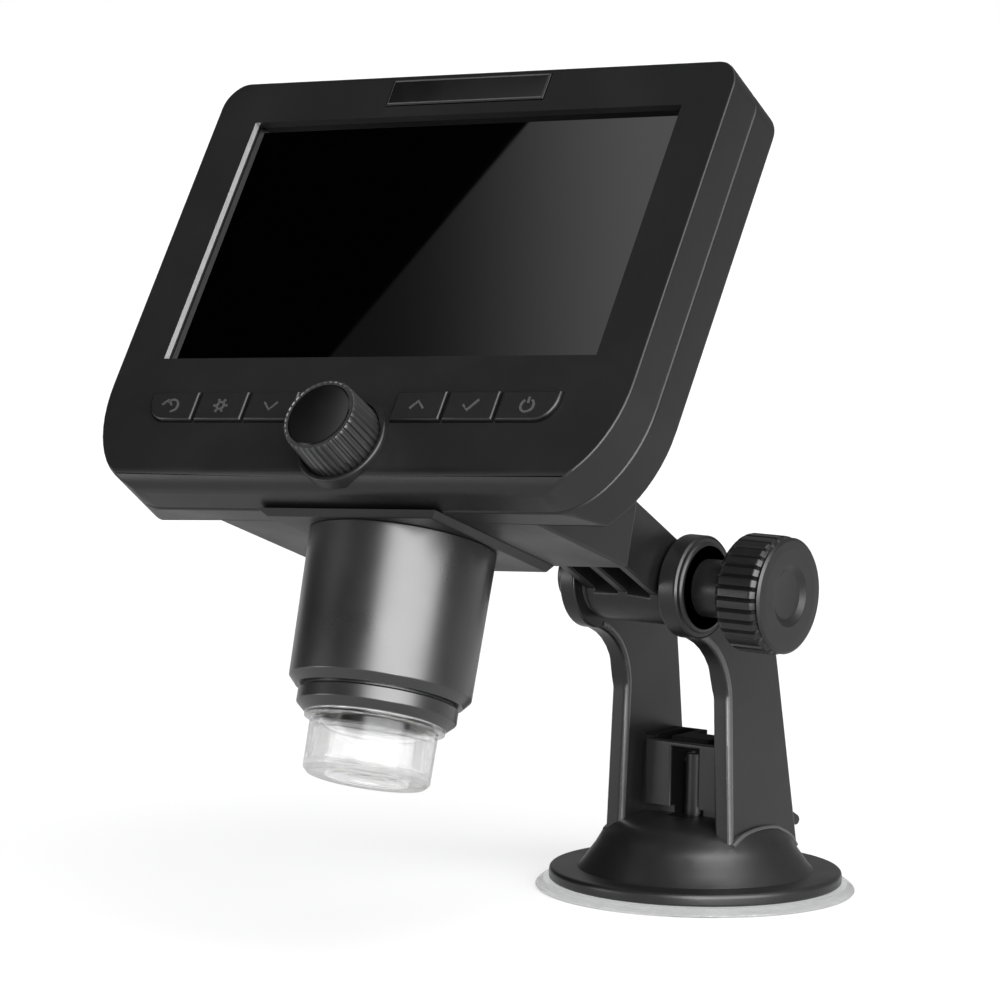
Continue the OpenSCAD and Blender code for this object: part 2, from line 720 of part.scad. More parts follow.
// Plate, barrel, lamp board, lens ring and clear cap, along the barrel axis
module mount_plate() {
    slope = plate_t + 0.3;
    front = tube_v + 1.5 - plate_d/2;
    back = housing_back - 0.3;
    color([0.06, 0.06, 0.06]) in_head() difference() {
        intersection() {
            along_x(-plate_w, plate_w) polygon([[front - slope, -underside], [front, plate_bottom],
                [back, plate_bottom], [back, -underside]]);
            translate([0, back + 1, 0]) rotate([90, 0, 0]) linear_extrude(plate_d + 8)
                polygon([[-plate_w/2 - slope, -underside], [plate_w/2 + slope, -underside],
                    [plate_w/2, plate_bottom], [-plate_w/2, plate_bottom]]);
        }
        along_tube() translate([0, 0, plate_bottom - 1]) cylinder(r = spigot_bore_r + fit_gap, h = 5);
    }
}
module lens_barrel() {
    inner = barrel_r - barrel_wall;
    color([0.08, 0.08, 0.08]) in_head() along_tube() {
        rotate_extrude() polygon([[barrel_r - 1.4, chamfer_end], [barrel_r, barrel_end],
            [barrel_r + barrel_flare, plate_bottom], [spigot_bore_r, plate_bottom],
            [spigot_bore_r, -underside + shell_wall], [spigot_bore_r - 1, -underside + shell_wall],
            [spigot_bore_r - 1, plate_bottom - 1], [inner, plate_bottom - 2], [inner, guide_top],
            [carriage_r + run_gap, guide_top], [carriage_r + run_gap, guide_bottom],
            [carriage_r + run_gap + 1.4, guide_bottom], [carriage_r + run_gap + 1.4, guide_top - 1.6],
            [inner, guide_top - 1.6], [inner, led_board_top], [inner - 1, led_board_top],
            [inner - 1, chamfer_end]]);
    }
}
module led_board() {
    led_board_r = barrel_r - barrel_wall - 1 - fit_gap;
    color([0.03, 0.03, 0.03]) in_head() along_tube()
        ring(led_board_r, carriage_r + 0.6, led_board_top - led_board_t, led_board_top);
}
module led_lamps() {
    color([0.95, 0.93, 0.8]) in_head() along_tube() for (i = [0:7]) rotate(i*45 + 22.5)
        translate([9.6, 0, led_board_top - led_board_t - 1.6]) cylinder(r = 1.5, h = 1.6);
}
module lens_ring() {
    bore = cap_r - 0.8;
    spigot = barrel_r - barrel_wall - 1 - fit_gap;
    color([0.06, 0.06, 0.06]) in_head() along_tube() rotate_extrude() polygon([
        [bore, ring_bottom + 0.2], [lens_ring_r - 1.6, ring_bottom], [lens_ring_r, ring_bottom + 1.5],
        [lens_ring_r, chamfer_end - 0.35], [lens_ring_r - 0.7, chamfer_end - 0.35],
        [lens_ring_r - 0.7, chamfer_end], [spigot, chamfer_end],
        [spigot, led_board_top - led_board_t], [spigot - 1.9, led_board_top - led_board_t],
        [spigot - 1.9, chamfer_end - 1], [bore, chamfer_end - 1]]);
}
module clear_cap() {
    sleeve_r = cap_r - 0.8 - run_gap;
    color([0.8, 0.85, 0.9, 0.4]) in_head() along_tube() rotate_extrude() polygon([
        [0, cap_bottom + 0.5], [4, cap_bottom + 0.5], [4.6, cap_bottom], [cap_r - 0.9, cap_bottom],
        [cap_r - 0.1, cap_bottom + 0.8], [cap_r, ring_bottom - 1], [cap_r + 1.2, ring_bottom - 0.9],
        [cap_r + 1.2, ring_bottom - 0.05], [sleeve_r, ring_bottom - 0.05], [sleeve_r, ring_bottom + 3.4],
        [sleeve_r - cap_wall, ring_bottom + 3.4], [cap_r - 0.1 - cap_wall, cap_bottom + 1.9],
        [7.4, cap_bottom + 1.7], [0, cap_bottom + 1.7]]);
}

// The arm: a channel open below with a middle rib, a knuckle at the hinge and a neck for the swivel
module tilt_arm() {
    neck_r = lock_ring_r - 3.4;
    top = 7.5;
    low = -5.8;
    channel_end = -arm_len + 12;
    color([0.07, 0.07, 0.07]) in_arm() difference() {
        union() {
            rod_x(arm_knuckle_r, -arm_w/2, arm_w/2);
            along_x(-arm_w/2, arm_w/2) polygon([[channel_end - 3, low], [-2, low + 0.6],
                [0, arm_knuckle_r - 1.2], [-4, top - 0.2], [channel_end - 3, top]]);
            rod_y(neck_r, -arm_len + fit_gap, channel_end + 1);
            rod_y(spigot_r, -arm_len - spigot_len, -arm_len + 1);
        }
        for (side = [-1, 1]) translate([side*(arm_w - arm_wall)/4, 0, 0])
            along_x(-(arm_w - 3*arm_wall)/4, (arm_w - 3*arm_wall)/4)
                polygon([[channel_end, low - 5], [-arm_knuckle_r + 2.4, low - 5], [-arm_knuckle_r + 2.4, 2],
                    [-arm_knuckle_r + 0.4, top - arm_wall], [channel_end, top - arm_wall]]);
        rod_x(bolt_r + run_gap, -arm_w, arm_w);
        rod_y(1.25, -arm_len - spigot_len - 1, -arm_len + 4);
    }
}
module swivel_lock_ring() {
    neck_r = lock_ring_r - 3.4;
    color([0.07, 0.07, 0.07]) in_arm() difference() {
        union() {
            rod_y(lock_ring_r - 0.5, -arm_len + 2*fit_gap, -arm_len + 5.6);
            for (i = [0:27]) rotate([0, i*360/28, 0])
                box(lock_ring_r - 1, lock_ring_r, -arm_len + 0.8, -arm_len + 5, -0.5, 0.5);
        }
        rod_y(neck_r + run_gap, -arm_len - 1, -arm_len + 8);
    }
}
module swivel_screw() {
    end = -arm_len - spigot_len - 0.7;
    color("silver") in_arm() {
        rod_y(spigot_r + 1.8, end - 1, end);
        rod_y(2.6, end - 2.8, end - 1 + eps);
        rod_y(1.25, end - eps, -arm_len + 3);
    }
}

// Hinge hardware along X
module at_hinge() { translate([0, -hinge_fwd, hinge_h]) children(); }
module bolt_head(gap, x1, x2) {
    translate([-x2, 0, 0]) rotate([0, 90, 0]) cylinder(r = bolt_head_r + gap, h = x2 - x1, $fn = 6);
}
module hinge_bolt() {
    color("silver") at_hinge() {
        rod_x(bolt_r, -bolt_seat - eps, bolt_tip);
        bolt_head(0, bolt_seat, bolt_seat + bolt_head_t);
    }
}
module friction_washers() {
    color([0.2, 0.2, 0.2]) at_hinge() for (side = [-1, 1]) difference() {
        x1 = side*(arm_w/2 + eps);
        x2 = side*(leg_in - eps);
        rod_x(arm_knuckle_r - 0.6, min(x1, x2), max(x1, x2));
        rod_x(bolt_r + run_gap, -20, 20);
    }
}
module clamp_washer() {
    color("silver") at_hinge() difference() {
        rod_x(recess_r - 0.5, recess_floor, recess_floor + washer_t);
        rod_x(bolt_r + run_gap, recess_floor - 1, recess_floor + 2);
    }
}
module clamp_knob() {
    flute_r = PI*knob_r/knob_flutes*0.52;
    color([0.06, 0.06, 0.06]) at_hinge() difference() {
        union() {
            rod_x(hub_r, hub_from, knob_from + 1);
            translate([knob_from, 0, 0]) rotate([0, 90, 0]) rotate_extrude()
                polygon([[0, 0], [knob_r - 1, 0], [knob_r, 1], [knob_r, knob_len - 0.8],
                    [knob_r - 0.8, knob_len], [0, knob_len]]);
        }
        for (i = [0:knob_flutes - 1]) rotate([i*360/knob_flutes, 0, 0])
            translate([0, 0, knob_r + flute_r*0.35]) rod_x(flute_r, knob_from - 1, knob_to + 1);
        rod_x(insert_r, hub_from - 1, knob_to - 1.5);
        rod_x(bolt_r + 0.3, hub_from - 1, knob_to - 1);
    }
}
module knob_insert() {
    color([0.8, 0.66, 0.3]) at_hinge() difference() {
        rod_x(insert_r, hub_from, knob_to - 1.6);
        rod_x(bolt_r + run_gap, hub_from - 1, knob_to + 1);
    }
}
module knob_cap() {
    r = knob_r - 0.2;
    color([0.09, 0.09, 0.09]) at_hinge() translate([knob_to, 0, 0]) rotate([0, 90, 0]) rotate_extrude()
        polygon([[0, 0], [r - 0.2, 0], [r, 0.2], [r, knob_end*0.5], [r - 0.6, knob_end - 0.1],
            [r - 2.4, knob_end], [5.4, knob_end], [4.2, knob_end - 0.6], [0, knob_end - 0.8]]);
}

// The stand: cone foot, two legs with knuckles, and the web that carries the lever
function cone_points() = [[cone_r, rim_top], [cone_r - 0.9, rim_top + 0.9], [cone_r - 3.6, rim_top + 4.6],
    [cone_r - 5, rim_top + 7], [cone_r - 7.4, rim_top + cone_h - 2.4], [cone_r - 10, rim_top + cone_h - 1.2],
    [cone_r - 14.4, rim_top + cone_h - 0.4], [0, cone_top]];
// Side view of a leg; its front edge sweeps forward along an arc that touches the knuckle
module leg_outline() {
    reach = hinge_fwd - leg_front;
    rise = hinge_h - leg_bend;
    sweep_r = (reach*reach + rise*rise - ring_r*ring_r)/(2*(reach + ring_r));
    sweep_c = [-leg_front - sweep_r, leg_bend];
    touch = atan2(rise, sweep_r - reach);
    ring_c = [-hinge_fwd, hinge_h];
    polygon(concat([[leg_back + 0.4, rim_top + 2], [leg_back_top, leg_bend + 3.3],
        [leg_back_top - 1.7, leg_bend + 12.3], [leg_back_top - 3.6, leg_bend + 15.8],
        [leg_back_top - 8, hinge_h - 4.2], [leg_back_top - 15.5, hinge_h + 1.6],
        ring_c + [ring_r*0.74, ring_r*0.7], ring_c + [ring_r*0.55, ring_r*0.75], ring_c,
        ring_c - (ring_r - 0.3)*[cos(touch), sin(touch)]],
        arc(sweep_c, sweep_r, touch*7/8, 0, 7), [[-leg_front, rim_top + 2]]));
}
// A leg seen from the front: it leans inward up to the knuckle
module leg_front_view(side) {
    knee = hinge_h - ring_r;
    translate([0, leg_back + 20, 0]) rotate([90, 0, 0]) linear_extrude(leg_back + hinge_fwd + 60)
        polygon([[side*foot_in, rim_top], [side*foot_out, rim_top], [side*leg_out, knee],
            [side*leg_out, hinge_h + ring_r + 2], [side*leg_in, hinge_h + ring_r + 2], [side*leg_in, knee]]);
}
module stand_body() {
    inner = base_wall;
    knuckle_len = ring_out - leg_in;
    color([0.07, 0.07, 0.07]) difference() {
        union() {
            rotate_extrude() polygon(concat([[0, pad_t], [base_r, pad_t], [base_r, rim_top - 0.5],
                [base_r - 0.5, rim_top]], cone_points()));
            for (side = [-1, 1]) intersection() {
                along_x(side > 0 ? 0 : -foot_out - 1, side > 0 ? foot_out + 1 : 0) leg_outline();
                leg_front_view(side);
            }
            at_hinge() {
                translate([leg_in, 0, 0]) rotate([0, 90, 0]) rotate_extrude() polygon([[0, 0], [ring_r, 0],
                    [ring_r, knuckle_len - 1], [ring_r - 0.3, knuckle_len - 0.6],
                    [ring_r - 1.2, knuckle_len - 0.6], [ring_r - 1.5, knuckle_len], [0, knuckle_len]]);
                rod_x(ring_r, -leg_out, -leg_in);
                rod_x(bolt_boss_r, -leg_out - bolt_boss_len, -leg_out + eps);
            }
            box(-foot_in - 0.3, foot_in + 0.3, -web_front + web_set, web_back, rim_top + 3, web_top);
            box(-web_block, web_block, -web_front, -web_front + web_set + 0.5, cone_top + 1.4, web_top - 0.7);
        }
        rotate_extrude() polygon([[0, pad_t - 1], [cone_r - 2, pad_t - 1], [cone_r - 2, pad_t],
            [cone_r - inner - 3.4, rim_top + 2.2], [cone_r - inner - 6, rim_top + cone_h - inner - 3.4],
            [cone_r - inner - 10, rim_top + cone_h - inner - 2], [0, rim_top + cone_h - inner - 1.4]]);
        box(-slot_w/2, slot_w/2, -web_front - 1, web_back + 1, cone_top - 0.6, web_top - 1.9);
        box(-slot_w/2, slot_w/2, 3.6, web_back + 1, web_top - 2, web_top + 1);
        for (side = [-1, 1]) translate([side*(slot_w/2 + web_block)/2, 0, 0])
            box(-core_w/2, core_w/2, -web_front + 1.5, web_back - 1.6, pivot_z + 3.2, web_top + 1);
        cylinder(r = stem_r + run_gap, h = web_top - 1.4);
        at_pivot() rod_x(pivot_r, -leg_in + 1, leg_in - 1);
        at_hinge() {
            rod_x(bolt_r + run_gap, -30, 30);
            rod_x(recess_r, recess_floor, 30);
            bolt_head(fit_gap, bolt_seat, bolt_seat + 10);
        }
    }
}
module suction_pad() {
    ceiling = pad_pocket_z + pad_pocket_h;
    color([0.85, 0.88, 0.9, 0.4]) rotate_extrude() polygon([[0, 0], [pad_r, 0], [pad_r, pad_lip_t],
        [pad_r - 1.4, pad_t], [cone_r - 4, pad_t], [pad_boss_r + 1.6, pad_t + 0.4],
        [pad_boss_r, pad_boss_top], [stem_r + 0.3, pad_boss_top], [stem_r + 0.3, ceiling],
        [stem_foot_r + 0.3, ceiling], [stem_foot_r + 0.3, pad_pocket_z], [0, pad_pocket_z]]);
}
module pad_stem() {
    top = stirrup_pin_z + 1.5;
    foot_z = pad_pocket_z + pad_pocket_h - stem_foot_t - 0.1;
    color([0.08, 0.08, 0.08]) difference() {
        union() {
            translate([0, 0, foot_z]) cylinder(r = stem_foot_r, h = stem_foot_t);
            translate([0, 0, foot_z]) cylinder(r = stem_r, h = top - foot_z);
        }
        box(-stirrup_gap/2, stirrup_gap/2, -1.3, 4, pivot_z - 6.4, top + 1);
        translate([0, 0, stirrup_pin_z]) rod_x(stirrup_pin_r, -4, 4);
    }
}
module stem_pin() {
    color("silver") translate([0, 0, stirrup_pin_z]) rod_x(stirrup_pin_r, -stem_r, stem_r);
}
module at_pivot() { translate([0, pivot_y, pivot_z]) children(); }
module suction_lever() {
    reach = lever_tip - [pivot_y, pivot_z];
    slope = atan2(reach[1], reach[0]);
    len = norm(reach);
    nose_w = stirrup_gap - 0.8;
    color([0.08, 0.08, 0.08]) at_pivot() difference() {
        union() {
            rod_x(3.2, -lever_w/2, lever_w/2);
            along_x(-lever_w/2, lever_w/2) rotate(slope)
                polygon([[0, -1.6], [len - 4, -1.3], [len - 4, 1.3], [0, 2.6]]);
            along_x(-paddle_w/2, paddle_w/2) rotate(slope)
                polygon(concat([[len - 12, 1.1], [len - 12, -1.1]], arc([len - 1.1, 0], 1.1, -90, 90, 6)));
            along_x(-nose_w/2, nose_w/2)
                polygon(concat([[0, -1.5]], arc([-4.6, 1.7], lever_nose_r, -110, -260, 6), [[0, 2.8]]));
        }
        rod_x(pivot_r + run_gap, -10, 10);
    }
}
module lever_pin() {
    color("silver") at_pivot() rod_x(pivot_r, -leg_in + 1, leg_in - 1);
}

front_shell();
rear_shell();
battery_cover();
shell_screws();
screen_glass();
label_plate();
lcd_panel();
lcd_frame();
main_board();
processor_chips();
wifi_module();
usb_socket();
card_socket();
play_button();
mode_button();
down_button();
up_button();
ok_button();
power_button();
key_board();
key_switches();
battery();
battery_contacts();
camera_board();
image_sensor();
focus_wheel();
focus_shaft();
focus_pinion();
mount_plate();
lens_barrel();
lens_ring();
led_board();
led_lamps();
lens_carriage();
front_lens();
back_lens();
clear_cap();
tilt_arm();
swivel_lock_ring();
swivel_screw();
hinge_bolt();
friction_washers();
clamp_washer();
clamp_knob();
knob_insert();
knob_cap();
stand_body();
suction_pad();
pad_stem();
stem_pin();
suction_lever();
lever_pin();
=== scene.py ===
"""Looks of the digital microscope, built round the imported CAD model."""
import math

import bmesh
import bpy
from mathutils import Matrix, Vector
from mathutils.bvhtree import BVHTree


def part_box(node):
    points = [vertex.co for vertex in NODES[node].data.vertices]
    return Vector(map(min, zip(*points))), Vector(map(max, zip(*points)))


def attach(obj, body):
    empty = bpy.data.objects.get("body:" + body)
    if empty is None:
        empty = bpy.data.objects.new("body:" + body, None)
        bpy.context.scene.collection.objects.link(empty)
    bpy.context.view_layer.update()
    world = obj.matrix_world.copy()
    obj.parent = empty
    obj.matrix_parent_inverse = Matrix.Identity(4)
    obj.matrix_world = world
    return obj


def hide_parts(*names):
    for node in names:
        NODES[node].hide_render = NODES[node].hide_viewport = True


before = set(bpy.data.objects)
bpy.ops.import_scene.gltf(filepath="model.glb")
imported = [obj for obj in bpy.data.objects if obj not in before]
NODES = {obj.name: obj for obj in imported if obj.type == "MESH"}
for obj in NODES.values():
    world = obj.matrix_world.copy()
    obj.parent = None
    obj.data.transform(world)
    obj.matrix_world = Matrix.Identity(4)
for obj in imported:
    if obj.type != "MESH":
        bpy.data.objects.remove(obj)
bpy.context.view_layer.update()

MM = 0.001


def turn(axis, degrees):
    return Matrix.Rotation(math.radians(degrees), 4, axis)


def shift(x, y, z):
    return Matrix.Translation((x * MM, y * MM, z * MM))


# Frames of the object: the same angles and places as the CAD model's
HEAD_TILT, HEAD_SWIVEL, ARM_SLOPE, FACE_LEAN = 19.5, 4.25, 10.9, 16.7
HINGE = shift(0, -21.2, 65.6)
ARM = HINGE @ turn("X", -HEAD_TILT - ARM_SLOPE)
HEAD = ARM @ turn("Y", -HEAD_SWIVEL) @ turn("X", ARM_SLOPE) @ shift(0, -95.473, 42.927)
FACE = HEAD @ turn("X", -FACE_LEAN)
WHEEL = FACE @ shift(0, 0, -45.7) @ turn("X", -90)
TUBE = HEAD @ shift(0, 10.75, 0)
KNOB = HINGE @ turn("Y", 90)


# ---------------------------------------------------------------- materials
def new_material(name, base, rough, metal=0.0, ior=1.46):
    mat = bpy.data.materials.new(name)
    mat.use_nodes = True
    tree = mat.node_tree
    shader = tree.nodes["Principled BSDF"]
    shader.inputs["Base Color"].default_value = (*base, 1)
    shader.inputs["Roughness"].default_value = rough
    shader.inputs["Metallic"].default_value = metal
    shader.inputs["IOR"].default_value = ior
    mat.diffuse_color = (*base, 1)
    return mat, tree, shader


def noise(tree, scale, detail=3.0, rough=0.5, stretch=None):
    coords = tree.nodes.new("ShaderNodeTexCoord")
    tex = tree.nodes.new("ShaderNodeTexNoise")
    tex.inputs["Scale"].default_value = scale
    tex.inputs["Detail"].default_value = detail
    tex.inputs["Roughness"].default_value = rough
    if stretch:
        mapping = tree.nodes.new("ShaderNodeMapping")
        mapping.inputs["Scale"].default_value = stretch
        tree.links.new(coords.outputs["Object"], mapping.inputs["Vector"])
        tree.links.new(mapping.outputs["Vector"], tex.inputs["Vector"])
    else:
        tree.links.new(coords.outputs["Object"], tex.inputs["Vector"])
    return tex.outputs["Fac"]


def ranged(tree, value, low, high, start=0.3, stop=0.7):
    node = tree.nodes.new("ShaderNodeMapRange")
    node.inputs["From Min"].default_value = start
    node.inputs["From Max"].default_value = stop
    node.inputs["To Min"].default_value = low
    node.inputs["To Max"].default_value = high
    tree.links.new(value, node.inputs["Value"])
    return node.outputs["Result"]


def blend_colours(tree, factor, low, high):
    node = tree.nodes.new("ShaderNodeMix")
    node.data_type = "RGBA"
    node.inputs[6].default_value = (*low, 1)
    node.inputs[7].default_value = (*high, 1)
    tree.links.new(factor, node.inputs[0])
    return node.outputs[2]


def bump(tree, shader, height, strength, distance):
    node = tree.nodes.new("ShaderNodeBump")
    node.inputs["Strength"].default_value = strength
    node.inputs["Distance"].default_value = distance
    tree.links.new(height, node.inputs["Height"])
    tree.links.new(node.outputs["Normal"], shader.inputs["Normal"])


def moulded(name, base, rough, grain=2400, depth=0.00003, strength=0.35, spread=0.06, gloss=0.5):
    """Moulded plastic: fine spark-eroded grain, slow changes of gloss, and a faint change of colour."""
    mat, tree, shader = new_material(name, base, rough)
    shader.inputs["Specular IOR Level"].default_value = gloss
    bump(tree, shader, noise(tree, grain, 2.0, 0.6), strength, depth)
    slow = noise(tree, 55, 4.0)
    tree.links.new(ranged(tree, slow, rough - spread, rough + spread), shader.inputs["Roughness"])
    paler = tuple(c * 1.25 for c in base)
    tone = ranged(tree, noise(tree, 400, 3.0), 0, 1)
    tree.links.new(blend_colours(tree, tone, base, paler), shader.inputs["Base Color"])
    return mat


def polished(name, base, rough, ior=1.5):
    """Polished black: a little dust-fine change of gloss."""
    mat, tree, shader = new_material(name, base, rough, ior=ior)
    tree.links.new(ranged(tree, noise(tree, 120, 5.0), rough, rough * 1.8), shader.inputs["Roughness"])
    bump(tree, shader, noise(tree, 60, 2.0), 0.008, 0.00002)
    return mat


def metal(name, base, rough, brushed=(1, 1, 1)):
    """Turned or rolled metal: fine drawn lines and a slight stain."""
    mat, tree, shader = new_material(name, base, rough, metal=1.0)
    lines = noise(tree, 900, 4.0, 0.6, brushed)
    tree.links.new(ranged(tree, lines, rough * 0.75, rough * 1.3), shader.inputs["Roughness"])
    dull = tuple(c * 0.8 for c in base)
    tree.links.new(blend_colours(tree, ranged(tree, noise(tree, 90, 4.0), 0, 1), dull, base),
                   shader.inputs["Base Color"])
    bump(tree, shader, lines, 0.15, 0.00001)
    return mat


def clear(name, tint, rough, ior, ripple, alpha=1.0):
    """Clear moulding: full transmission, faint flow ripples and dust in the gloss."""
    mat, tree, shader = new_material(name, tint, rough, ior=ior)
    shader.inputs["Transmission Weight"].default_value = 1.0
    shader.inputs["Alpha"].default_value = alpha
    tree.links.new(ranged(tree, noise(tree, 160, 3.0), rough * 0.7, rough * 1.5), shader.inputs["Roughness"])
    bump(tree, shader, noise(tree, 90, 2.0), ripple, 0.0001)
    return mat


def circuit(name, base, track):
    """Board: solder mask over tracks, laid out as a fine square pattern."""
    mat, tree, shader = new_material(name, base, 0.4)
    coords = tree.nodes.new("ShaderNodeTexCoord")
    cells = tree.nodes.new("ShaderNodeTexVoronoi")
    cells.distance = "CHEBYCHEV"
    cells.inputs["Scale"].default_value = 420
    tree.links.new(coords.outputs["Object"], cells.inputs["Vector"])
    tree.links.new(blend_colours(tree, ranged(tree, cells.outputs["Distance"], 0, 1, 0.3, 0.34), base, track),
                   shader.inputs["Base Color"])
    bump(tree, shader, cells.outputs["Distance"], 0.2, 0.00003)
    return mat


SHELL = moulded("shell_plastic", (0.0025, 0.0025, 0.0027), 0.42)
# A darker, duller, rougher plastic: painted shade in the stand's slot and on the top of its web
PAINTED_SHADE = moulded("painted_shade_plastic", (0.0015, 0.0015, 0.0016), 0.75, gloss=0.12)
STAND = moulded("stand_plastic", (0.005, 0.005, 0.0053), 0.36, grain=1900, strength=0.45)
BUTTON = moulded("button_plastic", (0.0035, 0.0035, 0.0037), 0.34, grain=3200, strength=0.2)
GRIP = moulded("grip_plastic", (0.005, 0.005, 0.0053), 0.38, grain=3000, strength=0.25)
BARREL = moulded("barrel_plastic", (0.006, 0.006, 0.0063), 0.3, grain=2800, depth=0.00002, strength=0.25,
                 gloss=0.9)
# A paler, glossier copy of the stand plastic: its lighter colour is a painted highlight on the stand's beads
# and lips, the button signs and the plate's frame line
HIGHLIGHT_EDGE = moulded("painted_highlight_edge", (0.03, 0.03, 0.031), 0.3, grain=1900, strength=0.3, gloss=1.0)
# A light grey copy of the plastic: a painted highlight on the wide bevel at the window's left corner
BEVEL_HIGHLIGHT = moulded("painted_bevel_highlight", (0.16, 0.16, 0.162), 0.28, grain=1900, strength=0.2, gloss=1.0)
# A paler copy of the grip plastic: the lighter colour paints the light on the focus wheel's ridges
WHEEL_GRIP = moulded("wheel_plastic", (0.012, 0.012, 0.0125), 0.34, grain=3000, strength=0.25, gloss=0.9)
SCREEN = polished("screen_black", (0.0002, 0.0002, 0.0002), 0.008)
GLOSS = polished("gloss_black", (0.002, 0.002, 0.002), 0.09)
CLEAR = clear("clear_plastic", (1.0, 1.0, 1.0), 0.012, 1.47, 0.015, 0.62)
PAD = clear("clear_rubber", (0.97, 0.98, 0.985), 0.07, 1.42, 0.06)
LENS = clear("lens_glass", (0.93, 0.95, 1.0), 0.01, 1.52, 0.0)
DARK_STEEL = metal("oxide_steel", (0.04, 0.04, 0.042), 0.25, (1, 6, 6))
STEEL = metal("zinc_steel", (0.62, 0.62, 0.63), 0.3, (1, 1, 6))
SHEET = metal("tin_sheet", (0.7, 0.7, 0.71), 0.35, (1, 8, 1))
BRASS = metal("brass", (0.78, 0.6, 0.28), 0.28, (6, 1, 1))
GREEN = circuit("board_green", (0.012, 0.11, 0.04), (0.03, 0.19, 0.07))
BLACK_BOARD = circuit("board_black", (0.006, 0.006, 0.006), (0.014, 0.014, 0.013))
CHIP = moulded("chip_black", (0.02, 0.02, 0.02), 0.5, grain=5000)
WRAP = moulded("battery_wrap", (0.05, 0.15, 0.42), 0.25, grain=900, strength=0.1)
FIBRE = moulded("fibre", (0.03, 0.03, 0.03), 0.7, grain=1500, strength=0.5)
LAMP = moulded("lamp_resin", (0.8, 0.76, 0.55), 0.25, grain=1200, strength=0.05)
LCD = polished("lcd_dark", (0.01, 0.01, 0.013), 0.12)


# ---------------------------------------------------------------- mesh tools
def make_object(name, bm):
    mesh = bpy.data.meshes.new(name)
    bm.to_mesh(mesh)
    bm.free()
    obj = bpy.data.objects.new(name, mesh)
    bpy.context.scene.collection.objects.link(obj)
    return obj


def bake_modifiers(obj):
    graph = bpy.context.evaluated_depsgraph_get()
    mesh = bpy.data.meshes.new_from_object(obj.evaluated_get(graph), preserve_all_data_layers=True,
                                           depsgraph=graph)
    old = obj.data
    obj.modifiers.clear()
    obj.data = mesh
    bpy.data.meshes.remove(old)
    mesh.name = obj.name


def rod_along(bm, points, radius, around=10):
    """A round rod along a line of points, in the mesh's own units, closed at both ends."""
    pts = [Vector(p) for p in points]
    rings = []
    side = None
    for i, p in enumerate(pts):
        ahead = (pts[min(i + 1, len(pts) - 1)] - pts[max(i - 1, 0)]).normalized()
        side = ahead.orthogonal() if side is None else side - ahead * side.dot(ahead)
        side.normalize()
        other = ahead.cross(side)
        rings.append([bm.verts.new(p + side * (radius * math.cos(2 * math.pi * k / around))
                                   + other * (radius * math.sin(2 * math.pi * k / around)))
                      for k in range(around)])
    for a, b in zip(rings, rings[1:]):
        for k in range(around):
            n = (k + 1) % around
            bm.faces.new((a[k], a[n], b[n], b[k]))
    bm.faces.new(rings[0][::-1])
    bm.faces.new(rings[-1])


def finish_piece(name, bm, material, body, stands_for=(), sharp=32, second=None):
    """Turns a mesh in metres into a piece: smooth shading with kept corners, its materials and body."""
    for face in bm.faces:
        face.smooth = True
    for edge in bm.edges:
        edge.smooth = len(edge.link_faces) == 2 and edge.calc_face_angle(0) < math.radians(sharp)
    obj = make_object(name, bm)
    obj.data.materials.append(material)
    if second:
        obj.data.materials.append(second)
    weights = obj.modifiers.new("weights", "WEIGHTED_NORMAL")
    weights.keep_sharp = True
    bake_modifiers(obj)
    if stands_for:
        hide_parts(*stands_for)
    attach(obj, body)
    return obj


def to_world(bm, matrix):
    bm.transform(matrix @ Matrix.Scale(MM, 4))
    bmesh.ops.recalc_face_normals(bm, faces=bm.faces)
    return bm


def fillet(points, steps=5):
    """Rounds the corners of an open line of (x, y, radius) points."""
    out = []
    last = len(points) - 1
    for i, (x, y, r) in enumerate(points):
        here = Vector((x, y))
        if i in (0, last) or r <= 0:
            out.append(here)
            continue
        a = Vector(points[i - 1][:2]) - here
        b = Vector(points[i + 1][:2]) - here
        half = a.angle(b) / 2
        if math.degrees(half) > 89:
            out.append(here)
            continue
        cut = min(r / math.tan(half), a.length * 0.48, b.length * 0.48)
        radius = cut * math.tan(half)
        centre = here + (a.normalized() + b.normalized()).normalized() * radius / math.sin(half)
        first = here + a.normalized() * cut - centre
        second = here + b.normalized() * cut - centre
        total = first.angle_signed(second)
        for k in range(steps + 1):
            t = -total * k / steps
            c, s = math.cos(t), math.sin(t)
            out.append(centre + Vector((first.x * c - first.y * s, first.x * s + first.y * c)))
    return out


def lathe(points, around=128, steps=5, wave=None):
    """A body of revolution about z from a closed run of (r, z, corner radius); wave(angle, r, z) moves r."""
    line = fillet(points, steps)
    bm = bmesh.new()
    rings = []
    for p in line:
        if p.x < 1e-6:
            rings.append([bm.verts.new((0, 0, p.y))])
            continue
        ring = []
        for k in range(around):
            a = 2 * math.pi * k / around
            r = p.x + (wave(a, p.x, p.y) if wave else 0)
            ring.append(bm.verts.new((r * math.cos(a), r * math.sin(a), p.y)))
        rings.append(ring)
    closed = len(rings[0]) > 1 and len(rings[-1]) > 1
    pairs = list(zip(rings, rings[1:] + ([rings[0]] if closed else [])))
    if not closed:
        pairs = pairs[:len(rings) - 1]
    for a, b in pairs:
        for k in range(around):
            n = (k + 1) % around
            if len(a) == 1 and len(b) == 1:
                continue
            if len(a) == 1:
                bm.faces.new((a[0], b[k], b[n]))
            elif len(b) == 1:
                bm.faces.new((a[k], b[0], a[n]))
            else:
                bm.faces.new((a[k], b[k], b[n], a[n]))
    return bm


WIDE_SEGMENTS = 4
CLEARANCE = 0.0002


